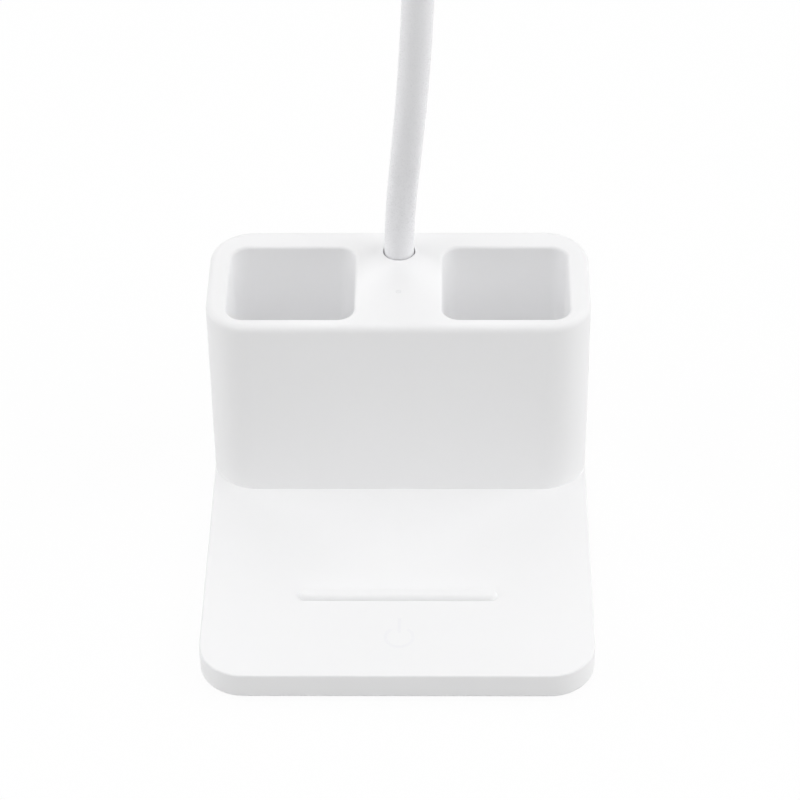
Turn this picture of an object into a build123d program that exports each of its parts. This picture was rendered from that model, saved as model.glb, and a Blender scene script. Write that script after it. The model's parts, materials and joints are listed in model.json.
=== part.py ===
from build123d import *
import math
import os

# Rechargeable desk lamp on an L-shaped base: a tall block with two pen pockets behind a low
# plate that carries a phone stop and a touch switch. A bendable neck rises from the block and
# holds a round lamp head.
# Millimetres. +Z up, +X to the right, the front faces -Y. The origin is the middle of the base
# on the desk. The joints' rest position is the neck's shape in this file.

# ---- base: outside ----
base_width = 130.0
base_depth = 147.6
block_depth = 55.3
block_height = 81.0            # housing's lower edge to the block's top
plate_thickness = 10.0         # housing's lower edge to the plate's top
plan_radius = 15.2             # upright corners of the plate and the block
rim_radius = 2.4               # rounding round the block's top
edge_radius = 0.6              # rounding on the plate's upper edge
foot_radius = 1.6              # rounding on the housing's lower edge
wall = 2.2                     # moulded wall
pad_thickness = 1.0            # anti-slip pad, which lifts the housing off the desk

# ---- pen pockets ----
pocket_depth = 56.0
pocket_bridge = 29.6           # between the two pockets
pocket_side = 7.2              # each pocket to the block's side
pocket_front = 5.0             # block's front face to the pockets
pocket_rear = 10.0             # pockets to the block's rear face
pocket_radius = 6.0
pocket_draft = 1.2             # each side draws in by this much at the floor
pocket_lip = 1.0               # rounding at the mouth
well_wall = 1.8
well_rib = 1.5                 # webs between the wells and the outer walls
plate_rib = 1.3                # webs under the plate

# ---- phone stop and switch ----
stop_length = 66.6
stop_width = 4.7
stop_height = 1.8
stop_front = 37.9              # plate's front edge to the stop's middle
switch_front = 19.5            # plate's front edge to the switch's middle
switch_radius = 9.0
foil_thickness = 0.3
touch_board_width = 24.0
touch_board_length = 20.0
board_thickness = 1.0

# ---- indicator lamp between the pockets ----
indicator_front = 20.1         # block's front face to the lamp
indicator_radius = 1.0
light_pipe_length = 8.0
light_pipe_flange = 1.0
indicator_board_width = 9.0
indicator_board_length = 24.0
indicator_post_radius = 1.8
indicator_post_spacing = 16.0
indicator_led_size = 1.6
indicator_led_height = 0.8

# ---- bottom cover ----
cover_thickness = 2.0
cover_clearance = 0.25
cover_boss_height = 1.2
cover_boss_radius = 5.0
screw_inset = 10.0             # base edges to the cover screws
screw_radius = 1.5
screw_hole_clearance = 0.3
screw_head_radius = 2.8
screw_head_height = 1.4
screw_length = 7.5
boss_radius = 3.4
pad_width = 92.0
pad_length = 116.0
pad_radius = 12.0

# ---- ballast ----
ballast_width = 96.0
ballast_length = 72.0
ballast_thickness = 4.0
ballast_radius = 6.0
ballast_front = 8.0            # plate's front edge to the ballast
ballast_post_radius = 3.0
ballast_post_spacing = 72.0
ballast_screw_radius = 1.2
ballast_screw_head = 4.0
ballast_screw_head_height = 1.0
fit_clearance = 0.2
pilot_share = 0.85             # a pilot hole's radius over its screw's

# ---- battery cell ----
cell_radius = 9.2
cell_length = 65.0
cell_front_gap = 2.5           # inside of the block's front wall to the cell
cell_terminal_radius = 3.0
cell_terminal_height = 1.2
cradle_thickness = 2.0
cradle_spacing = 44.0
cradle_wall = 2.4

# ---- main board and charging socket ----
main_board_width = 50.0
main_board_length = 20.0
main_board_thickness = 1.6
main_board_lift = 4.0
main_board_post_radius = 2.4
main_board_post_inset = 4.5
board_screw_radius = 1.0
board_screw_head = 1.9
socket_width = 8.94
socket_height = 3.2
socket_length = 7.4
socket_shell = 0.3
socket_recess = 0.6            # base's back face to the socket's mouth
socket_gap = 0.5               # round the socket, in the housing's opening
chip_width = 6.0
chip_height = 1.2
chip_spacing = 11.0
coil_width = 8.0
coil_length = 7.0
coil_height = 3.0
board_part_shift = 3.0         # chips and coil, forward of the board's middle

# ---- neck ----
neck_radius = 5.1
neck_hole_clearance = 0.5
neck_back = 12.1               # base's back face to the neck's axis
neck_seat_depth = 24.0         # block's top to the neck's seat
neck_seat_floor = 2.5
neck_seat_wall = 2.0
neck_stub = 7.0                # block's top to the first bend
span_count = 11
span_length = 29.0             # from one bend to the next
ball_clearance = 0.3
cup_rim = 3.0                  # a span starts this far past the middle of its ball
neck_tilt_foot = 27.0          # degrees forward, at the foot
neck_tilt_head = 86.0          # degrees forward, at the head
neck_upright = 0.32            # share of the neck's length below its upright place
neck_curl = 1.5                # how late the neck turns over above that: a power
neck_lean = 4.2                # degrees to the right where it leans most
neck_lean_middle = 0.165       # share of the neck's length below that place
neck_lean_spread = 0.295       # share of its length from there to where the lean ends
stud_radius = 4.0
stud_length = 11.0
nut_across_flats = 13.0
nut_height = 5.0
washer_radius = 7.8
washer_thickness = 1.0
thread_clearance = 0.05

# ---- lamp head ----
head_radius = 42.0
head_height = 16.0             # cover's lower edge to its top
head_wall = 1.8
head_crown = 2.5               # dome of the top
crown_middle = 0.72            # share of the dome reached halfway out
head_edge = 3.5                # rounding of the outer edge
collar_radius = 6.6
head_neck_height = 7.2         # cover's lower edge to the neck's axis
collar_start = 10.0            # last bend to the collar
head_start = 20.0              # last bend to the edge of the head
bezel_height = 1.6
bezel_width = 5.6
bezel_spigot = 4.0
bezel_spigot_wall = 1.4
diffuser_thickness = 1.8
led_board_radius = 29.0
led_board_thickness = 1.6
led_board_lift = 6.0           # cover's lower edge to the board
led_count = 16
led_ring_radius = 23.0
led_width = 2.8
led_length = 3.5
led_thickness = 0.7
head_screw_count = 3
head_screw_ring = 15.0
head_boss_radius = 2.8
head_screw_radius = 1.2
head_screw_head = 2.2
head_screw_head_height = 1.2
head_screw_length = 4.0
reflector_thickness = 0.6
tip_stud_radius = 2.5
tip_nut_across_flats = 8.0
tip_nut_height = 2.5
tip_seat_radius = 4.2
tip_stud_end = 0.8             # stud left over past its nut

# ---- places that follow from the sizes ----
front_y = -base_depth / 2
back_y = base_depth / 2
block_front_y = back_y - block_depth
housing_z = pad_thickness
plate_z = housing_z + plate_thickness
ceiling_z = plate_z - wall
top_z = housing_z + block_height
roof_z = top_z - wall
cover_z = housing_z + cover_thickness
boss_z = cover_z + cover_boss_height
pocket_width = (base_width - pocket_bridge) / 2 - pocket_side
pocket_length = block_depth - pocket_front - pocket_rear
pocket_x = (pocket_bridge + pocket_width) / 2
pocket_y = block_front_y + pocket_front + pocket_length / 2
pocket_floor_z = top_z - pocket_depth
well_z = pocket_floor_z - well_wall
screw_x = base_width / 2 - screw_inset
screw_y = base_depth / 2 - screw_inset
stop_y = front_y + stop_front
switch_y = front_y + switch_front
indicator_y = block_front_y + indicator_front
ballast_y = front_y + ballast_front + ballast_length / 2
cell_y = block_front_y + wall + cell_front_gap + cell_radius
cell_z = cover_z + cradle_wall + cell_radius
main_board_y = back_y - wall - socket_gap - main_board_length / 2
main_board_z = cover_z + main_board_lift
socket_z = main_board_z + main_board_thickness + socket_height / 2
socket_mouth_y = back_y - socket_recess
neck_y = back_y - neck_back
neck_hole_radius = neck_radius + neck_hole_clearance
seat_z = top_z - neck_seat_depth
seat_bottom_z = seat_z - neck_seat_floor
first_bend_z = top_z + neck_stub
ball_cavity = neck_radius + ball_clearance
head_middle = head_start + head_radius
tip_nut_start = head_start + head_wall + bezel_spigot_wall + 3 * fit_clearance
tip_nut_end = tip_nut_start + tip_nut_height
tip_end = tip_nut_end + tip_stud_end
spigot_radius = head_radius - head_wall - fit_clearance
diffuser_radius = spigot_radius - bezel_spigot_wall - fit_clearance
reflector_foot = head_middle - tip_end - fit_clearance


def rounded_box(width, length, height, radius, x, y, z):
    """An upright block with round plan corners, standing on z, centred on x, y."""
    plan = Pos(x, y, z) * RectangleRounded(width, length, radius)
    return extrude(plan, height)


def post(radius, height, x, y, z):
    """An upright cylinder standing on z."""
    return Pos(x, y, z + height / 2) * Cylinder(radius, height)


def block(width, length, height, x, y, z):
    """An upright plain block standing on z."""
    return Pos(x, y, z + height / 2) * Box(width, length, height)


def corners(x, y):
    """Four places, one in each quarter."""
    return [(-x, -y), (x, -y), (-x, y), (x, y)]


def hexagon_nut(across_flats, height, bore):
    """A nut standing on the origin, chamfered by turning both faces down."""
    circle = across_flats / math.sqrt(3)
    prism = extrude(RegularPolygon(circle, 6), height)
    blank = Pos(0, 0, height / 2) * Cylinder(circle, height)
    blank = chamfer(blank.edges().filter_by(GeomType.CIRCLE), 0.12 * circle)
    return (prism & blank) - post(bore, height, 0, 0, 0)


# ---- base housing ----
def pocket(grow, top, bottom):
    """The drawn-in space of one pocket, or of the well round it when grown by its wall."""
    mouth = RectangleRounded(pocket_width + 2 * grow, pocket_length + 2 * grow,
                             pocket_radius + grow)
    floor = RectangleRounded(pocket_width + 2 * (grow - pocket_draft),
                             pocket_length + 2 * (grow - pocket_draft),
                             pocket_radius + grow - pocket_draft)
    return loft([Pos(0, 0, bottom) * floor, Pos(0, 0, top) * mouth])


def housing_outside():
    plate = rounded_box(base_width, base_depth, plate_thickness, plan_radius, 0, 0, housing_z)
    plate = fillet(plate.faces().sort_by(Axis.Z)[-1].edges(), edge_radius)
    plate = fillet(plate.faces().sort_by(Axis.Z)[0].edges(), foot_radius)
    foot = foot_radius + wall
    tower = rounded_box(base_width, block_depth, block_height - foot, plan_radius,
                        0, back_y - block_depth / 2, housing_z + foot)
    tower = fillet(tower.faces().sort_by(Axis.Z)[-1].edges(), rim_radius)
    return plate + tower


def housing_inside():
    inner_radius = plan_radius - wall
    low = rounded_box(base_width - 2 * wall, base_depth - 2 * wall, plate_thickness - wall,
                      inner_radius, 0, 0, housing_z)
    high = rounded_box(base_width - 2 * wall, block_depth - 2 * wall, block_height - wall,
                       inner_radius, 0, back_y - block_depth / 2, housing_z)
    return low + high


def phone_stop():
    """Low half-round bar with round ends, across the plate."""
    bar = extrude(SlotOverall(stop_length, stop_width), stop_height)
    bar = fillet(bar.faces().sort_by(Axis.Z)[-1].edges(), 0.8 * stop_height)
    return Pos(0, stop_y, plate_z) * bar


def housing_ribs():
    """Webs that tie the wells and the neck's seat to the outer walls."""
    rib = well_rib
    side_start = pocket_x + pocket_width / 2
    side_end = base_width / 2 - wall / 2
    height = roof_z - well_z + wall / 2
    ribs = []
    for side in (-1, 1):
        middle = side * (side_start + side_end) / 2
        for shift in (-pocket_length / 4, pocket_length / 4):
            ribs.append(block(side_end - side_start, rib, height, middle, pocket_y + shift, well_z))
        rear_start = pocket_y + pocket_length / 2
        rear_end = back_y - wall / 2
        ribs.append(block(rib, rear_end - rear_start, height, side * pocket_x,
                          (rear_start + rear_end) / 2, well_z))
    seat_height = roof_z - seat_bottom_z + wall / 2
    inner = pocket_bridge / 2
    ribs.append(block(2 * inner, rib, seat_height, 0, neck_y, seat_bottom_z))
    ribs.append(block(rib, back_y - wall / 2 - neck_y, seat_height, 0,
                      (back_y - wall / 2 + neck_y) / 2, seat_bottom_z))
    return ribs


def plate_ribs():
    """Shallow stiffeners under the plate, clear of the switch and the ballast."""
    depth = (ceiling_z - cover_z - ballast_thickness) / 2
    return [block(base_width - 2 * wall, plate_rib, depth + wall / 2, 0, y, ceiling_z - depth)
            for y in (stop_y, stop_y + stop_front / 2, stop_y + stop_front)]


def housing_bosses():
    """Screw bosses at the corners: short under the plate, long under the wells."""
    bosses = []
    for x, y in corners(screw_x, screw_y):
        top = ceiling_z + wall / 2 if y < 0 else well_z + well_wall / 2
        bosses.append(post(boss_radius, top - boss_z, x, y, boss_z))
        if y > 0:
            side = math.copysign(1, x)
            reach = base_width / 2 - wall / 2 - abs(x)
            bosses.append(block(reach, well_rib, top - boss_z, x + side * reach / 2, y, boss_z))
    return bosses


def indicator_posts():
    length = light_pipe_length - wall
    drop = [post(indicator_post_radius, length, 0, indicator_y + shift, roof_z - length)
            for shift in (-indicator_post_spacing / 2, indicator_post_spacing / 2)]
    pins = [post(indicator_post_radius / 2, length + 1.5 * board_thickness, 0,
                 indicator_y + shift, roof_z - length - 1.5 * board_thickness)
            for shift in (-indicator_post_spacing / 2, indicator_post_spacing / 2)]
    return drop + pins


def upper_housing():
    body = housing_outside() - housing_inside()
    wells = [Pos(side * pocket_x, pocket_y, 0) * pocket(well_wall, top_z - wall / 2, well_z)
             for side in (-1, 1)]
    seat = post(neck_hole_radius + neck_seat_wall, roof_z - seat_bottom_z + wall / 2,
                0, neck_y, seat_bottom_z)
    inner_parts = wells + [seat] + housing_ribs() + plate_ribs() + housing_bosses()
    body = body + (inner_parts + indicator_posts())
    hollows = [Pos(side * pocket_x, pocket_y, 0) * pocket(0, top_z, pocket_floor_z)
               for side in (-1, 1)]
    holes = [post(neck_hole_radius, neck_seat_depth, 0, neck_y, seat_z)]
    holes.append(post(stud_radius + fit_clearance, neck_seat_floor, 0, neck_y, seat_bottom_z))
    holes.append(post(indicator_radius, wall, 0, indicator_y, roof_z))
    pilot = screw_length - screw_head_height
    holes += [post(pilot_share * screw_radius, pilot, x, y, boss_z) for x, y in corners(screw_x, screw_y)
              if y > 0]
    holes += [post(pilot_share * screw_radius, ceiling_z - boss_z, x, y, boss_z)
              for x, y in corners(screw_x, screw_y) if y < 0]
    mouth = SlotOverall(socket_width + 2 * socket_gap, socket_height + 2 * socket_gap)
    mouth_plane = Plane((0, back_y - 1.5 * wall, socket_z), x_dir=(1, 0, 0), z_dir=(0, 1, 0))
    holes.append(extrude(mouth_plane * mouth, 2 * wall))
    body = body - (hollows + holes)
    body = fillet(pocket_mouths(body), pocket_lip)
    return body + phone_stop()


def pocket_mouths(body):
    """The edges of the two pockets in the block's top face."""
    top = body.faces().filter_by(Axis.Z).sort_by(Axis.Z)[-1]
    return [edge for wire in top.inner_wires() for edge in wire.edges()
            if wire.length > pocket_width + pocket_length]


# ---- bottom cover and what it carries ----
def bottom_cover():
    inner_radius = plan_radius - wall - cover_clearance
    inset = 2 * (wall + cover_clearance)
    cover = rounded_box(base_width - inset, base_depth - inset, cover_thickness, inner_radius,
                        0, 0, housing_z)
    raised = [post(cover_boss_radius, cover_boss_height, x, y, cover_z)
              for x, y in corners(screw_x, screw_y)]
    raised += [post(ballast_post_radius, ballast_thickness, x, ballast_y, cover_z)
               for x in (-ballast_post_spacing / 2, ballast_post_spacing / 2)]
    raised += cradle()
    raised += [post(main_board_post_radius, main_board_lift, x, y, cover_z)
               for x, y in board_posts()]
    cover = cover + raised
    holes = []
    for x, y in corners(screw_x, screw_y):
        holes.append(post(screw_radius + screw_hole_clearance, boss_z - housing_z, x, y, housing_z))
        holes.append(post(screw_head_radius + screw_hole_clearance, screw_head_height,
                          x, y, housing_z))
    holes += [post(pilot_share * ballast_screw_radius, ballast_thickness, x, ballast_y, cover_z)
              for x in (-ballast_post_spacing / 2, ballast_post_spacing / 2)]
    holes += [post(pilot_share * board_screw_radius, main_board_lift, x, y, cover_z)
              for x, y in board_posts()]
    return cover - holes


def cradle():
    """Two saddles across the cell, with a stop at each end."""
    width = 2 * (cell_radius + cradle_wall)
    saddles = [block(cradle_thickness, width, cell_z - cover_z, x, cell_y, cover_z)
               for x in (-cradle_spacing / 2, cradle_spacing / 2)]
    end_x = (cell_length + cradle_thickness) / 2 + cell_terminal_height + fit_clearance
    ends = [block(cradle_thickness, cell_radius, cell_z - cover_z + cell_terminal_radius, x,
                  cell_y, cover_z) for x in (-end_x, end_x)]
    room = Pos(0, cell_y, cell_z) * Rot(0, 90, 0) * Cylinder(cell_radius + fit_clearance,
                                                             cradle_spacing + 2 * cradle_thickness)
    return [saddle - room for saddle in saddles] + ends


def board_posts():
    x = main_board_width / 2 - main_board_post_inset
    y = main_board_y - main_board_length / 2 + main_board_post_inset
    return [(-x, y), (x, y)]


def anti_slip_pad():
    pad = rounded_box(pad_width, pad_length, pad_thickness, pad_radius, 0, 0, 0)
    return chamfer(pad.faces().sort_by(Axis.Z)[0].edges(), 0.3 * pad_thickness)


def ballast_plate():
    plate = rounded_box(ballast_width, ballast_length, ballast_thickness, ballast_radius,
                        0, ballast_y, cover_z)
    holes = [post(ballast_post_radius + fit_clearance, ballast_thickness, x, ballast_y, cover_z)
             for x in (-ballast_post_spacing / 2, ballast_post_spacing / 2)]
    return plate - holes


def pan_screw(radius, length, head, head_height):
    """A screw with its head's underside on the origin, shank up, head below."""
    dome = Pos(0, 0, -head_height / 2) * Cylinder(head, head_height)
    dome = fillet(dome.faces().sort_by(Axis.Z)[0].edges(), 0.6 * head_height)
    slot = 0.25 * head
    drive = block(1.2 * head, slot, 0.5 * head_height, 0, 0, -head_height)
    drive = drive + block(slot, 1.2 * head, 0.5 * head_height, 0, 0, -head_height)
    shank = post(radius, length, 0, 0, 0)
    return (dome - drive) + chamfer(shank.faces().sort_by(Axis.Z)[-1].edges(), 0.3 * radius)


def base_screws():
    reach = screw_length - screw_head_height
    screw = pan_screw(pilot_share * screw_radius, reach, screw_head_radius, screw_head_height)
    return [Pos(x, y, housing_z + screw_head_height) * screw for x, y in corners(screw_x, screw_y)]


def ballast_screws():
    screw = pan_screw(pilot_share * ballast_screw_radius, ballast_thickness - fit_clearance,
                      ballast_screw_head, ballast_screw_head_height)
    return [Pos(x, ballast_y, cover_z + ballast_thickness) * Rot(180, 0, 0) * screw
            for x in (-ballast_post_spacing / 2, ballast_post_spacing / 2)]


def battery_cell():
    cell = Cylinder(cell_radius, cell_length)
    cell = fillet(cell.edges().filter_by(GeomType.CIRCLE), 0.1 * cell_radius)
    tip = Pos(0, 0, (cell_length + cell_terminal_height) / 2)
    cell = cell + tip * Cylinder(cell_terminal_radius, cell_terminal_height)
    return Pos(0, cell_y, cell_z) * Rot(0, 90, 0) * cell


def main_board():
    board = block(main_board_width, main_board_length, main_board_thickness,
                  0, main_board_y, main_board_z)
    top = main_board_z + main_board_thickness
    parts_y = main_board_y - board_part_shift
    chips = [block(chip_width, chip_width, chip_height, x, parts_y, top)
             for x in (-chip_spacing, 0)]
    chips.append(block(coil_width, coil_length, coil_height, chip_spacing, parts_y, top))
    holes = [post(board_screw_radius + fit_clearance, main_board_thickness, x, y, main_board_z)
             for x, y in board_posts()]
    return board + chips - holes


def board_screws():
    screw = pan_screw(pilot_share * board_screw_radius, 0.9 * main_board_lift, board_screw_head,
                      board_screw_radius)
    top = main_board_z + main_board_thickness
    return [Pos(x, y, top) * Rot(180, 0, 0) * screw for x, y in board_posts()]


def charging_socket():
    """Flat-sided oval metal shell with its contact tongue inside."""
    plane = Plane((0, socket_mouth_y, socket_z), x_dir=(1, 0, 0), z_dir=(0, -1, 0))
    shell = extrude(plane * SlotOverall(socket_width, socket_height), socket_length)
    room = extrude(plane * SlotOverall(socket_width - 2 * socket_shell,
                                       socket_height - 2 * socket_shell),
                   socket_length - 3 * socket_shell)
    tongue = extrude(plane * Rectangle(0.7 * socket_width, 0.2 * socket_height), socket_length)
    return (shell - room) + Pos(0, -2 * socket_shell, 0) * tongue


# ---- touch switch and indicator ----
def touch_foil():
    return post(switch_radius, foil_thickness, 0, switch_y, ceiling_z - foil_thickness)


def touch_board():
    return block(touch_board_width, touch_board_length, board_thickness, 0, switch_y,
                 ceiling_z - foil_thickness - board_thickness)


def light_pipe():
    rod = post(indicator_radius - fit_clearance / 4, light_pipe_length - indicator_led_height,
               0, indicator_y, top_z - light_pipe_length + indicator_led_height)
    flange = post(2 * indicator_radius, light_pipe_flange, 0, indicator_y,
                  roof_z - light_pipe_flange)
    return rod + flange


def indicator_board():
    z = top_z - light_pipe_length - board_thickness
    board = block(indicator_board_width, indicator_board_length, board_thickness,
                  0, indicator_y, z)
    holes = [post(indicator_post_radius / 2 + fit_clearance / 2, board_thickness, 0,
                  indicator_y + shift, z)
             for shift in (-indicator_post_spacing / 2, indicator_post_spacing / 2)]
    return board - holes


def indicator_led():
    return block(indicator_led_size, indicator_led_size, indicator_led_height, 0, indicator_y,
                 top_z - light_pipe_length)


# ---- neck ----
def neck_direction(index):
    """Unit vector of span number index: 0 is the foot's first span, span_count the head."""
    share = index / span_count
    above = (share - neck_upright) / (1 - neck_upright)
    if above < 0:
        tilt = math.radians(neck_tilt_foot) * (1 - (share / neck_upright) ** 2)
    else:
        tilt = math.radians(neck_tilt_head) * above ** neck_curl
    off_lean = min(abs(share - neck_lean_middle) / neck_lean_spread, 1)
    lean = math.radians(neck_lean) * math.cos(math.pi / 2 * off_lean)
    return Vector(math.sin(lean), -math.sin(tilt) * math.cos(lean),
                  math.cos(tilt) * math.cos(lean))


def neck_bends():
    """Middle of each bend, from the foot to the head."""
    bends = [Vector(0, neck_y, first_bend_z)]
    for index in range(span_count):
        bends.append(bends[-1] + neck_direction(index) * span_length)
    return bends


def span_plane(index):
    """A span's own frame: on its lower bend, +Z along the span, +X to the right."""
    return Plane(neck_bends()[index], x_dir=(1, 0, 0), z_dir=neck_direction(index))


def neck_cup(length):
    """A round length of neck that starts over the ball at the origin."""
    rod = post(neck_radius, length - cup_rim, 0, 0, cup_rim)
    return rod - Sphere(ball_cavity)


def neck_span():
    """One length of sleeved neck: a cup below, and the ball of the next bend on top."""
    return neck_cup(span_length) + Pos(0, 0, span_length) * Sphere(neck_radius)


def neck_foot():
    """The neck's fixed foot: a ball on a straight length, and a stud through the seat."""
    ball = Pos(0, neck_y, first_bend_z) * Sphere(neck_radius)
    rod = post(neck_radius, first_bend_z - seat_z, 0, neck_y, seat_z)
    stud = post(stud_radius, stud_length, 0, neck_y, seat_z - stud_length)
    stud = chamfer(stud.faces().sort_by(Axis.Z)[0].edges(), 0.2 * stud_radius)
    return ball + rod + stud


def neck_washer():
    z = seat_bottom_z - washer_thickness
    ring = post(washer_radius, washer_thickness, 0, neck_y, z)
    return ring - post(stud_radius + fit_clearance, washer_thickness, 0, neck_y, z)


def neck_nut():
    z = seat_bottom_z - washer_thickness - nut_height
    return Pos(0, neck_y, z) * hexagon_nut(nut_across_flats, nut_height,
                                           stud_radius + thread_clearance)


# ---- lamp head, drawn with its disc lying flat and then set on the neck ----
def head_place():
    """From the disc's frame, with its axis up, to the neck's end."""
    return span_plane(span_count).location * Rot(-90, 0, 0) * Pos(0, -head_middle, -head_neck_height)


def ring(outer, inner, height, z):
    return post(outer, height, 0, 0, z) - post(inner, height, 0, 0, z)


def ring_places(count, radius):
    return [Rot(0, 0, 360 / count * (turn + 0.5)) * Pos(0, radius, 0) for turn in range(count)]


def dome(radius, height, edge):
    """A flat drum with a crowned top and a rounded edge, standing on the origin."""
    side = height - head_crown
    with BuildSketch(Plane.XZ) as half:
        with BuildLine():
            Line((0, 0), (radius, 0))
            Line((radius, 0), (radius, side - edge))
            RadiusArc((radius, side - edge), (radius - edge, side), -edge)
            ThreePointArc((radius - edge, side), (0.5 * radius, side + crown_middle * head_crown),
                          (0, height))
            Line((0, height), (0, 0))
        make_face()
    return revolve(half.sketch, Axis.Z)


def along_neck(solid, start):
    """Lays an upright solid on the neck's axis in the disc's frame, from start on."""
    return Pos(0, head_middle - start, head_neck_height) * Rot(90, 0, 0) * solid


def collar():
    """The tube that takes the neck's end, running into the head's edge."""
    tube = post(collar_radius, head_start + 2 * head_edge - collar_start, 0, 0, 0)
    tube = fillet(tube.faces().sort_by(Axis.Z)[0].edges(), 0.15 * collar_radius)
    return along_neck(tube, collar_start)


def head_hollow():
    """The room inside the head, which leaves the bosses and the neck's seat standing."""
    hollow = dome(head_radius - head_wall, head_height - head_wall, head_edge - head_wall)
    boss_foot = led_board_lift + led_board_thickness
    boss = post(head_boss_radius, head_height - boss_foot, 0, 0, boss_foot)
    pilot = post(pilot_share * head_screw_radius, head_screw_length - head_wall / 2, 0, 0, boss_foot)
    seat_start = head_start + head_wall / 4
    seat = along_neck(post(tip_seat_radius, tip_nut_start - seat_start, 0, 0, 0), seat_start)
    for place in ring_places(head_screw_count, head_screw_ring):
        hollow = hollow - place * (boss - pilot)
    return hollow - seat


def head_cover():
    shell = dome(head_radius, head_height, head_edge) + collar() - head_hollow()
    shell = shell - along_neck(post(neck_radius + fit_clearance, head_start, 0, 0, 0), 0)
    return shell - along_neck(post(tip_stud_radius + fit_clearance, tip_nut_start, 0, 0, 0), 0)


def head_bezel():
    """Ring that closes the head's edge and holds the diffuser."""
    lip = ring(head_radius, head_radius - bezel_width, bezel_height, -bezel_height)
    lip = chamfer(lip.faces().sort_by(Axis.Z)[0].edges(), 0.4 * bezel_height)
    spigot = ring(spigot_radius, spigot_radius - bezel_spigot_wall, bezel_spigot, 0)
    notch = 2 * (tip_seat_radius + fit_clearance)
    return lip + (spigot - block(notch, notch, bezel_spigot, 0, spigot_radius, 0))


def diffuser():
    return post(diffuser_radius, diffuser_thickness, 0, 0, 0)


def reflector():
    """Thin white cone from the board's edge out to the diffuser."""
    low = diffuser_thickness
    head = led_board_radius + fit_clearance
    outer = loft([Pos(0, 0, low) * Circle(reflector_foot),
                  Pos(0, 0, led_board_lift) * Circle(head)])
    inner = loft([Pos(0, 0, low) * Circle(reflector_foot - reflector_thickness),
                  Pos(0, 0, led_board_lift) * Circle(head - reflector_thickness)])
    return outer - inner


def led_board():
    board = post(led_board_radius, led_board_thickness, 0, 0, led_board_lift)
    holes = [place * post(head_screw_radius + fit_clearance, led_board_thickness, 0, 0,
                          led_board_lift)
             for place in ring_places(head_screw_count, head_screw_ring)]
    return board - holes


def leds():
    chip = block(led_width, led_length, led_thickness, 0, 0, led_board_lift - led_thickness)
    return [place * chip for place in ring_places(led_count, led_ring_radius)]


def head_screws():
    screw = pan_screw(pilot_share * head_screw_radius, head_screw_length - head_wall / 2,
                      head_screw_head, head_screw_head_height)
    return [place * Pos(0, 0, led_board_lift) * screw
            for place in ring_places(head_screw_count, head_screw_ring)]


def neck_tip():
    """The neck's end, held in the head's collar by a stud and nut."""
    stud = post(tip_stud_radius, tip_end - head_start, 0, 0, head_start)
    stud = chamfer(stud.faces().sort_by(Axis.Z)[-1].edges(), 0.2 * tip_stud_radius)
    return neck_cup(head_start) + stud


def neck_tip_nut():
    nut = hexagon_nut(tip_nut_across_flats, tip_nut_height, tip_stud_radius + thread_clearance)
    return Pos(0, 0, tip_nut_start) * nut


def save(name, solids):
    group = solids if isinstance(solids, list) else [solids]
    shape = group[0] if len(group) == 1 else Compound(children=group)
    export_step(shape, os.path.join("parts", name + ".step"))


def main():
    os.makedirs("parts", exist_ok=True)
    for make in (upper_housing, bottom_cover, anti_slip_pad, ballast_plate, ballast_screws,
                 base_screws, battery_cell, main_board, board_screws, charging_socket,
                 touch_foil, touch_board, light_pipe, indicator_board, indicator_led,
                 neck_foot, neck_washer, neck_nut):
        save(make.__name__, make())
    for index in range(span_count):
        save(f"neck_span_{index + 1:02d}", span_plane(index).location * neck_span())
    for make in (head_cover, head_bezel, diffuser, reflector, led_board, leds, head_screws):
        solids = make()
        group = solids if isinstance(solids, list) else [solids]
        save(make.__name__, [head_place() * solid for solid in group])
    for make in (neck_tip, neck_tip_nut):
        save(make.__name__, span_plane(span_count).location * make())


main()
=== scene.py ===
import json
import math

import bpy
from mathutils import Matrix, Vector

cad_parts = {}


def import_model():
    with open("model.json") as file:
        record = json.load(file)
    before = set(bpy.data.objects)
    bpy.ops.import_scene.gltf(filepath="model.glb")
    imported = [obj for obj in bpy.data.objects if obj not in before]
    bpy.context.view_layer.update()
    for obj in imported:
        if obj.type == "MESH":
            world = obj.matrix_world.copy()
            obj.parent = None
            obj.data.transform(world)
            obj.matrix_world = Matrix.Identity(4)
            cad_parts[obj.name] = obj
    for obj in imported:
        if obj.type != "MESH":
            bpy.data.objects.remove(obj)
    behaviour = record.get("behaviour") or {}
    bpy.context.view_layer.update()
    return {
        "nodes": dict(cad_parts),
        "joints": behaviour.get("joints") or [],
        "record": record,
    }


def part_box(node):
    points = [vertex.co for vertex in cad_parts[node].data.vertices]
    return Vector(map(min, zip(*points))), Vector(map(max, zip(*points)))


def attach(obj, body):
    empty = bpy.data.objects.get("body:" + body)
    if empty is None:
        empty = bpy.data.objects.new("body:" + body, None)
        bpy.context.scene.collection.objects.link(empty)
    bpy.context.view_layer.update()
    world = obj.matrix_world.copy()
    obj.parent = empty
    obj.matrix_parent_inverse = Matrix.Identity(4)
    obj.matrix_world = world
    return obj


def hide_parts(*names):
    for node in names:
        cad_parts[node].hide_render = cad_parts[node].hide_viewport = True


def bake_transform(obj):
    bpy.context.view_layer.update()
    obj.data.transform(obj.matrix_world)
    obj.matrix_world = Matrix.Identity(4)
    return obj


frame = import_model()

MM = 0.001
MICRON = 0.000001


def middle(node):
    """The middle of a node's box."""
    low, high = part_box(node)
    return (low + high) / 2


# ---- the photograph's viewpoint, in metres and degrees ----
CAMERA_AT = Vector((0.01655, -0.75324, 0.68437))
CAMERA_YAW = -1.193
CAMERA_PITCH = 39.368
CAMERA_ROLL = -0.771
CAMERA_LENS = 132.3
CAMERA_SENSOR = 36.0
CAMERA_NEAR = 0.01
CAMERA_FAR = 50.0

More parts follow.
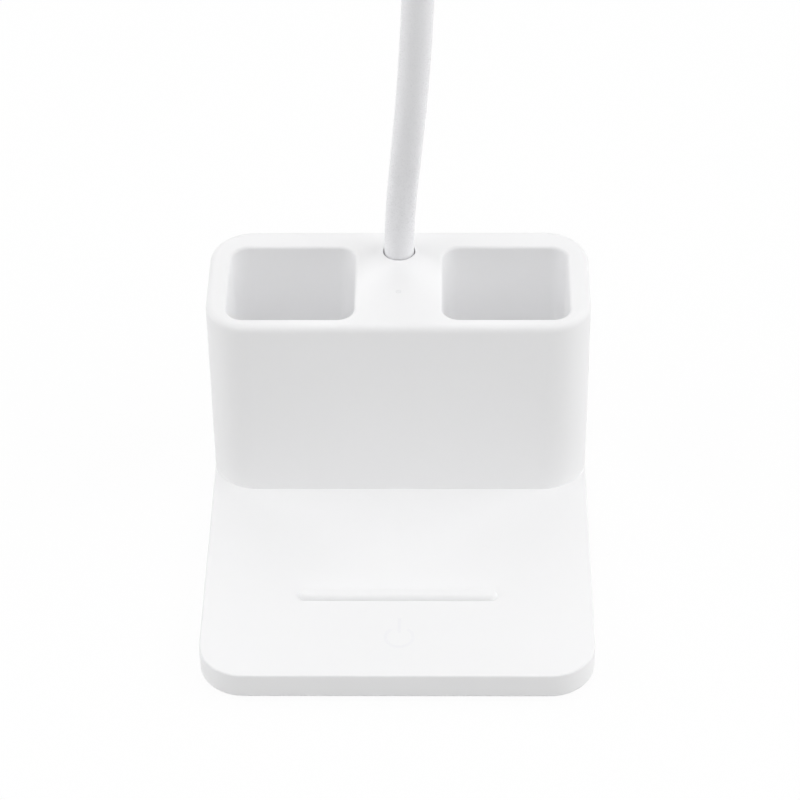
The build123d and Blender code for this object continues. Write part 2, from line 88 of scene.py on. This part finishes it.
# ---- studio light: name, azimuth, elevation, strength, width of the sun in degrees ----
SUNS = [("light_top", 0, 80, 0.32, 60),
        ("light_front", 0, 50, 0.52, 60),
        ("light_left", -85, 28, 1.51, 70),
        ("light_right", 85, 28, 1.78, 70),
        ("light_rear", 180, 45, 0.74, 60)]
WORLD_LIGHT = 0.06
DIFFUSE_BOUNCES = 8            # deep white pockets need more than the usual four

# ---- floor ----
FLOOR_ALBEDO = 0.75            # for the light that it throws back
FLOOR_GLOW = 0.93              # share of plain white in the floor that the camera sees
FLOOR_ROUGHNESS = 0.9
FLOOR_DROP = 0.02 * MM         # below the pad, whose underside stays in sight from below
FLOOR_HALF = 6.0

# ---- what all finishes share ----
PATTERN_LOW, PATTERN_HIGH = 0.3, 0.7      # where a noise pattern's useful values start and end
FINE_DETAIL = 4.0
SHEEN_ROUGHNESS = 0.35
OPAL_SUBSURFACE = 0.3
OPAL_DEPTH = 2 * MM

# ---- places taken from the frame ----
TOP_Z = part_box("upper_housing")[1].z
PAD_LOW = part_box("anti_slip_pad")[0].z
SWITCH = middle("touch_foil")
FOIL_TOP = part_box("touch_foil")[1].z
SLEEVE_RADIUS = (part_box("neck_foot")[1].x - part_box("neck_foot")[0].x) / 2
BENDS = [Vector(joint["pos_m"]) for joint in frame["joints"]]
HEAD_DIRECTION = (middle("neck_tip_nut") - BENDS[-1]).normalized()

# ---- neck sleeve ----
SLEEVE_SIDES = 48
SLEEVE_STEPS = 14              # round each bend
SLEEVE_IN_HOLE = 24 * MM       # straight run from the top of the block down to the neck's seat
SLEEVE_TO_COLLAR = 10 * MM     # from the last bend to the mouth of the head's collar
SLEEVE_IN_COLLAR = 10 * MM     # straight run from there to the head's edge
FOOT_STUD = (4.0 * MM, 11.0 * MM)         # radius and length
TIP_STUD = (2.5 * MM, 7.1 * MM)
STUD_CHAMFER = 0.2             # share of the stud's radius

# ---- switch sign ----
SIGN_RADIUS = 4.55 * MM
SIGN_LINE = 1.15 * MM
SIGN_BAR_LOW = 2.0 * MM
SIGN_BAR_HIGH = 9.0 * MM
SIGN_GAP = 36.0                # degrees left open each side of the bar
SIGN_STEPS = 64
SIGN_WALL = 2.2 * MM           # plastic between the touch foil and the plate's top
SIGN_RISE = 0.03 * MM          # over the plate's top
SIGN_DEPTH = 0.05 * MM         # into the plate
SIGN_RIGHT = 0.7 * MM          # from the switch's middle to the ring's
SIGN_BACK = -1.3 * MM


# ---------------------------------------------------------------- materials
def new_material(name):
    """A material with its nodes, its links and its shader."""
    material = bpy.data.materials.new(name)
    material.use_nodes = True
    nodes = material.node_tree.nodes
    return material, nodes, material.node_tree.links, nodes["Principled BSDF"]


def noise(nodes, links, scale, detail=3.0):
    """A noise pattern in the object's own coordinates, in turns per metre."""
    place = nodes.new("ShaderNodeTexCoord")
    pattern = nodes.new("ShaderNodeTexNoise")
    pattern.inputs["Scale"].default_value = scale
    pattern.inputs["Detail"].default_value = detail
    links.new(place.outputs["Object"], pattern.inputs["Vector"])
    return pattern


def between(nodes, links, source, low, high):
    """Spreads a pattern over the colours low to high."""
    ramp = nodes.new("ShaderNodeValToRGB")
    ramp.color_ramp.elements[0].position = PATTERN_LOW
    ramp.color_ramp.elements[1].position = PATTERN_HIGH
    ramp.color_ramp.elements[0].color = (*low, 1)
    ramp.color_ramp.elements[1].color = (*high, 1)
    links.new(source.outputs["Fac"], ramp.inputs["Fac"])
    return ramp


def spread(nodes, links, source, low, high):
    """Spreads a pattern over the numbers low to high."""
    scale = nodes.new("ShaderNodeMapRange")
    scale.inputs["From Min"].default_value = PATTERN_LOW
    scale.inputs["From Max"].default_value = PATTERN_HIGH
    scale.inputs["To Min"].default_value = low
    scale.inputs["To Max"].default_value = high
    links.new(source.outputs["Fac"], scale.inputs["Value"])
    return scale


def bump(nodes, links, source, height, shader):
    """Raises the shader's surface by the pattern, height metres at most."""
    lift = nodes.new("ShaderNodeBump")
    lift.inputs["Strength"].default_value = 1.0
    lift.inputs["Distance"].default_value = height
    links.new(source.outputs["Fac"], lift.inputs["Height"])
    links.new(lift.outputs["Normal"], shader.inputs["Normal"])


def surface(name, colour, vary=0.01, roughness=(0.4, 0.5), grain=1500.0, grain_height=10 * MICRON,
            blotch=30.0, metallic=0.0, specular=0.5, sheen=0.0):
    """Moulded or finished surface: slow colour drift, uneven gloss and a fine grain."""
    material, nodes, links, shader = new_material(name)
    low = [max(0.0, c * (1 - vary)) for c in colour]
    high = [min(1.0, c * (1 + vary)) for c in colour]
    drift = noise(nodes, links, blotch)
    fine = noise(nodes, links, grain, detail=FINE_DETAIL)
    links.new(between(nodes, links, drift, low, high).outputs["Color"],
              shader.inputs["Base Color"])
    links.new(spread(nodes, links, fine, *roughness).outputs["Result"],
              shader.inputs["Roughness"])
    shader.inputs["Metallic"].default_value = metallic
    shader.inputs["Specular IOR Level"].default_value = specular
    shader.inputs["Sheen Weight"].default_value = sheen
    shader.inputs["Sheen Roughness"].default_value = SHEEN_ROUGHNESS
    bump(nodes, links, fine, grain_height, shader)
    return material


def opal_plastic():
    """The diffuser's milky sheet, which lets light a little way in."""
    material = surface("opal_plastic", (0.93, 0.93, 0.91), vary=0.006, roughness=(0.3, 0.4),
                       grain=2200.0, grain_height=4 * MICRON, specular=0.45)
    shader = material.node_tree.nodes["Principled BSDF"]
    shader.inputs["Subsurface Weight"].default_value = OPAL_SUBSURFACE
    shader.inputs["Subsurface Scale"].default_value = OPAL_DEPTH
    return material


FINISHES = {
    "housing_white": surface("white_plastic", (0.955, 0.955, 0.96), vary=0.003,
                             roughness=(0.5, 0.58), grain=2600.0, grain_height=6 * MICRON,
                             blotch=22.0, specular=0.35),
    "cover_white": surface("cover_plastic", (0.80, 0.80, 0.80), vary=0.015,
                           roughness=(0.5, 0.62), grain=1100.0, grain_height=30 * MICRON),
    "pad_grey": surface("pad_foam", (0.45, 0.45, 0.46), vary=0.06, roughness=(0.75, 0.9),
                        grain=900.0, grain_height=120 * MICRON, specular=0.25),
    "sleeve_white": surface("sleeve_rubber", (0.90, 0.90, 0.915), vary=0.006,
                            roughness=(0.25, 0.33), grain=2600.0, grain_height=1.5 * MICRON,
                            blotch=45.0, specular=0.55, sheen=0.05),
    "steel": surface("plated_steel", (0.62, 0.63, 0.64), vary=0.05, roughness=(0.25, 0.4),
                     grain=700.0, metallic=1.0),
    "cell_wrap": surface("cell_wrap", (0.10, 0.33, 0.52), vary=0.04, roughness=(0.22, 0.32)),
    "board_green": surface("board_mask", (0.02, 0.16, 0.08), vary=0.12,
                           roughness=(0.25, 0.38), blotch=160.0),
    "copper": surface("copper_foil", (0.72, 0.42, 0.26), vary=0.06, roughness=(0.3, 0.45),
                      metallic=1.0),
    # the light pipe is milky like the housing round it
    "clear": surface("clear_plastic", (0.945, 0.95, 0.955), vary=0.006, roughness=(0.14, 0.2),
                     grain=900.0, grain_height=2 * MICRON, specular=0.6),
    "led": surface("led_lens", (0.90, 0.83, 0.42), vary=0.03, roughness=(0.2, 0.3)),
    "opal": opal_plastic(),
    "reflector_white": surface("reflector_film", (0.92, 0.92, 0.92), vary=0.008,
                               roughness=(0.3, 0.4)),
    "board_aluminium": surface("board_white", (0.85, 0.85, 0.83), vary=0.02,
                               roughness=(0.3, 0.42)),
}


def finish_nodes():
    """Gives every carried-over node the finish of its slot."""
    for part in frame["record"]["subparts"]:
        for place in frame["nodes"][part["node"]].material_slots:
            place.material = FINISHES[part["material_slot"]]


def mesh_object(name, vertices, faces, slot, smooth=True):
    """A piece of the given vertices and faces, finished as its slot is."""
    mesh = bpy.data.meshes.new(name)
    mesh.from_pydata(vertices, [], faces)
    mesh.polygons.foreach_set("use_smooth", [smooth] * len(mesh.polygons))
    mesh.materials.append(FINISHES[slot])
    piece = bpy.data.objects.new(name, mesh)
    bpy.context.scene.collection.objects.link(piece)
    return piece


# ---------------------------------------------------------------- neck sleeve
def neck_points():
    """The bends, between the mouth of the hole and the mouth of the head's collar."""
    mouth = Vector((BENDS[0].x, BENDS[0].y, TOP_Z))
    return [mouth] + BENDS + [BENDS[-1] + HEAD_DIRECTION * SLEEVE_TO_COLLAR]


def arc_through(before, bend, after, share):
    """A point and its direction on the smooth curve that a bend rounds off."""
    point = before * (1 - share) ** 2 + bend * 2 * share * (1 - share) + after * share ** 2
    heading = (bend - before) * (1 - share) + (after - bend) * share
    return point, heading.normalized()


def sleeve_ring(point, heading, radius):
    """A circle of vertices square to the heading, all rings turned alike."""
    across = Vector((1, 0, 0)) - heading * heading.x
    across.normalize()
    up = heading.cross(across)
    ring = []
    for side in range(SLEEVE_SIDES):
        angle = 2 * math.pi * side / SLEEVE_SIDES
        ring.append(point + (across * math.cos(angle) + up * math.sin(angle)) * radius)
    return ring


def sleeve_path(before, bend, after):
    """Points, directions and radii round one bend."""
    return [(*arc_through(before, bend, after, step / SLEEVE_STEPS), SLEEVE_RADIUS)
            for step in range(SLEEVE_STEPS + 1)]


def stud_path(point, heading, side, run, stud):
    """From an end of a path outwards: a straight run, then its stud. Side is -1 or 1."""
    radius, length = stud
    shoulder = point + heading * side * run
    tip = shoulder + heading * side * length
    chamfer = radius * STUD_CHAMFER
    return [(shoulder, heading, SLEEVE_RADIUS), (shoulder, heading, radius),
            (tip - heading * side * chamfer, heading, radius), (tip, heading, radius - chamfer)]


def runs_of(path):
    """The path cut where its radius changes, so that no shading runs over an edge."""
    runs = [[path[0]]]
    for place in path[1:]:
        edge = runs[-1][-1]
        if place[-1] == edge[-1]:
            runs[-1].append(place)
        else:
            runs += [[edge, place], [place]]
    return [run for run in runs if len(run) > 1]


def sleeve_piece(index, path):
    """A closed round piece along a path."""
    vertices, faces = [], []
    for run in runs_of(path):
        first = len(vertices)
        for place in run:
            vertices += sleeve_ring(*place)
        for step in range(len(run) - 1):
            for side in range(SLEEVE_SIDES):
                a = first + step * SLEEVE_SIDES + side
                b = first + step * SLEEVE_SIDES + (side + 1) % SLEEVE_SIDES
                faces.append((a, b, b + SLEEVE_SIDES, a + SLEEVE_SIDES))
    # the ends have vertices of their own too, so that the sides stay evenly shaded up to them
    near_end = len(vertices)
    far_end = near_end + SLEEVE_SIDES
    vertices += sleeve_ring(*path[0]) + sleeve_ring(*path[-1])
    faces += [tuple(reversed(range(near_end, far_end))),
              tuple(range(far_end, far_end + SLEEVE_SIDES))]
    piece = mesh_object(f"neck_sleeve_{index:02d}", vertices, faces, "sleeve_white")
    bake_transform(piece)
    return piece


def neck_sleeve():
    """A smooth sleeve in one piece for each bend, met at the middle of each span."""
    guide = neck_points()
    for index in range(1, len(guide) - 1):
        first, last = index == 1, index == len(guide) - 2
        before = guide[0] if first else (guide[index - 1] + guide[index]) / 2
        after = guide[-1] if last else (guide[index] + guide[index + 1]) / 2
        path = sleeve_path(before, guide[index], after)
        if first:
            path = stud_path(*path[0][:2], -1, SLEEVE_IN_HOLE, FOOT_STUD)[::-1] + path
        if last:
            path += stud_path(*path[-1][:2], 1, SLEEVE_IN_COLLAR, TIP_STUD)
        piece = sleeve_piece(index, path)
        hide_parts("neck_foot" if first else f"neck_span_{index - 1:02d}")
        if last:
            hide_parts("neck_tip")


# ---------------------------------------------------------------- switch sign
def flat_ring(inner, outer, start, end, centre, low, high):
    """A flat-topped ring from one angle to another, as vertices and faces."""
    vertices, faces = [], []
    for step in range(SIGN_STEPS + 1):
        angle = math.radians(start + (end - start) * step / SIGN_STEPS)
        for radius, height in ((inner, low), (inner, high), (outer, high), (outer, low)):
            vertices.append((centre.x + radius * math.cos(angle),
                             centre.y + radius * math.sin(angle), height))
    for step in range(SIGN_STEPS):
        a, b = 4 * step, 4 * step + 4
        for side in range(4):
            after = (side + 1) % 4
            faces.append((a + side, a + after, b + after, b + side))
    faces += [(3, 2, 1, 0), tuple(4 * SIGN_STEPS + side for side in range(4))]
    return vertices, faces


def flat_bar(half, near, far, centre, low, high):
    """A flat-topped bar from near to far behind the centre, as vertices and faces."""
    corners = [(-half, near), (half, near), (half, far), (-half, far)]
    vertices = [(centre.x + x, centre.y + y, height) for height in (low, high)
                for x, y in corners]
    faces = [(4, 5, 6, 7), (3, 2, 1, 0)]
    for corner in range(4):
        after = (corner + 1) % 4
        faces.append((corner, after, 4 + after, 4 + corner))
    return vertices, faces


def power_sign():
    """The plain on-off sign over the touch switch: an open ring and a bar."""
    plate_z = FOIL_TOP + SIGN_WALL
    centre = Vector((SWITCH.x + SIGN_RIGHT, SWITCH.y + SIGN_BACK, 0))
    low, high = plate_z - SIGN_DEPTH, plate_z + SIGN_RISE
    half = SIGN_LINE / 2
    vertices, faces = flat_ring(SIGN_RADIUS - half, SIGN_RADIUS + half, 90 + SIGN_GAP,
                                450 - SIGN_GAP, centre, low, high)
    bar_vertices, bar_faces = flat_bar(half, SIGN_BAR_LOW, SIGN_BAR_HIGH, centre, low, high)
    start = len(vertices)
    vertices += bar_vertices
    faces += [tuple(start + corner for corner in face) for face in bar_faces]
    sign = mesh_object("power_sign", vertices, faces, "housing_white", smooth=False)
    sign.data.materials[0] = surface("sign_print", (0.925, 0.925, 0.94), roughness=(0.32, 0.4))
    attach(sign, "base")


# ---------------------------------------------------------------- stage
def camera():
    """A camera where the photograph's was."""
    yaw, pitch, roll = (math.radians(v) for v in (CAMERA_YAW, CAMERA_PITCH, CAMERA_ROLL))
    forward = Vector((math.sin(yaw) * math.cos(pitch), math.cos(yaw) * math.cos(pitch),
                      -math.sin(pitch)))
    level = Vector((math.cos(yaw), -math.sin(yaw), 0))
    upward = level.cross(forward)
    right = level * math.cos(roll) + upward * math.sin(roll)
    up = upward * math.cos(roll) - level * math.sin(roll)
    data = bpy.data.cameras.new("camera")
    data.lens = CAMERA_LENS
    data.sensor_width = CAMERA_SENSOR
    data.clip_start = CAMERA_NEAR
    data.clip_end = CAMERA_FAR
    eye = bpy.data.objects.new("camera", data)
    turn = Matrix((right, up, -forward)).transposed().to_4x4()
    eye.matrix_world = Matrix.Translation(CAMERA_AT) @ turn
    bpy.context.scene.collection.objects.link(eye)
    bpy.context.scene.camera = eye


def sees_background(nodes, links):
    """1 for rays from the camera, in mirrors and through glass, and 0 for the light itself."""
    path = nodes.new("ShaderNodeLightPath")
    total = path.outputs["Is Camera Ray"]
    for name in ("Is Glossy Ray", "Is Transmission Ray"):
        step = nodes.new("ShaderNodeMath")
        step.operation = "MAXIMUM"
        links.new(total, step.inputs[0])
        links.new(path.outputs[name], step.inputs[1])
        total = step.outputs[0]
    return total


def white_where_seen(nodes, links, otherwise):
    """1 where the background is seen, and another number for the light itself."""
    level = nodes.new("ShaderNodeMapRange")
    level.inputs["To Min"].default_value = otherwise
    level.inputs["To Max"].default_value = 1.0
    links.new(sees_background(nodes, links), level.inputs["Value"])
    return level.outputs["Result"]


def world():
    """White surroundings that light the object only a little."""
    sky = bpy.data.worlds.new("studio")
    bpy.context.scene.world = sky
    sky.use_nodes = True
    nodes, links = sky.node_tree.nodes, sky.node_tree.links
    backdrop = nodes["Background"]
    backdrop.inputs["Color"].default_value = (1, 1, 1, 1)
    links.new(white_where_seen(nodes, links, WORLD_LIGHT), backdrop.inputs["Strength"])


def mixed(nodes, links, share, first, second):
    """A shader that goes from the first to the second by the share."""
    mix = nodes.new("ShaderNodeMixShader")
    links.new(share, mix.inputs[0])
    links.new(first, mix.inputs[1])
    links.new(second, mix.inputs[2])
    return mix.outputs[0]


def floor_material():
    """Nearly plain white from above, with a faint shadow, and clear from below."""
    material, nodes, links, shader = new_material("floor")
    links.new(white_where_seen(nodes, links, FLOOR_ALBEDO), shader.inputs["Base Color"])
    shader.inputs["Roughness"].default_value = FLOOR_ROUGHNESS
    shader.inputs["Specular IOR Level"].default_value = 0.0
    share = nodes.new("ShaderNodeMath")
    share.operation = "MULTIPLY"
    share.inputs[1].default_value = FLOOR_GLOW
    links.new(sees_background(nodes, links), share.inputs[0])
    glow = nodes.new("ShaderNodeEmission")
    top = mixed(nodes, links, share.outputs[0], shader.outputs[0], glow.outputs[0])
    # from below the floor is clear, so that the underside can be looked at
    side = nodes.new("ShaderNodeNewGeometry")
    clear = nodes.new("ShaderNodeBsdfTransparent")
    links.new(mixed(nodes, links, side.outputs["Backfacing"], top, clear.outputs[0]),
              nodes["Material Output"].inputs["Surface"])
    return material


def floor():
    """A wide plain floor just under the pad."""
    mesh = bpy.data.meshes.new("floor")
    corners = [(-1, -1), (1, -1), (1, 1), (-1, 1)]
    mesh.from_pydata([(x * FLOOR_HALF, y * FLOOR_HALF, PAD_LOW - FLOOR_DROP)
                      for x, y in corners], [], [(0, 1, 2, 3)])
    mesh.materials.append(floor_material())
    ground = bpy.data.objects.new("floor", mesh)
    bpy.context.scene.collection.objects.link(ground)


def soft_sun(name, azimuth, elevation, strength, width):
    """A broad, even light from one side: azimuth 0 is the front, 90 the right."""
    data = bpy.data.lights.new(name, "SUN")
    data.energy = strength
    data.angle = math.radians(width)
    lamp = bpy.data.objects.new(name, data)
    turn, rise = math.radians(azimuth), math.radians(elevation)
    towards = Vector((math.sin(turn) * math.cos(rise), -math.cos(turn) * math.cos(rise),
                      math.sin(rise)))
    lamp.rotation_euler = towards.to_track_quat("Z", "Y").to_euler()
    bpy.context.scene.collection.objects.link(lamp)


def main():
    """Finishes the nodes and adds the scene's own pieces, its camera, floor and light."""
    bpy.context.scene.view_settings.view_transform = "Standard"
    bpy.context.scene.cycles.diffuse_bounces = DIFFUSE_BOUNCES
    finish_nodes()
    neck_sleeve()
    power_sign()
    camera()
    world()
    floor()
    for sun in SUNS:
        soft_sun(*sun)


main()
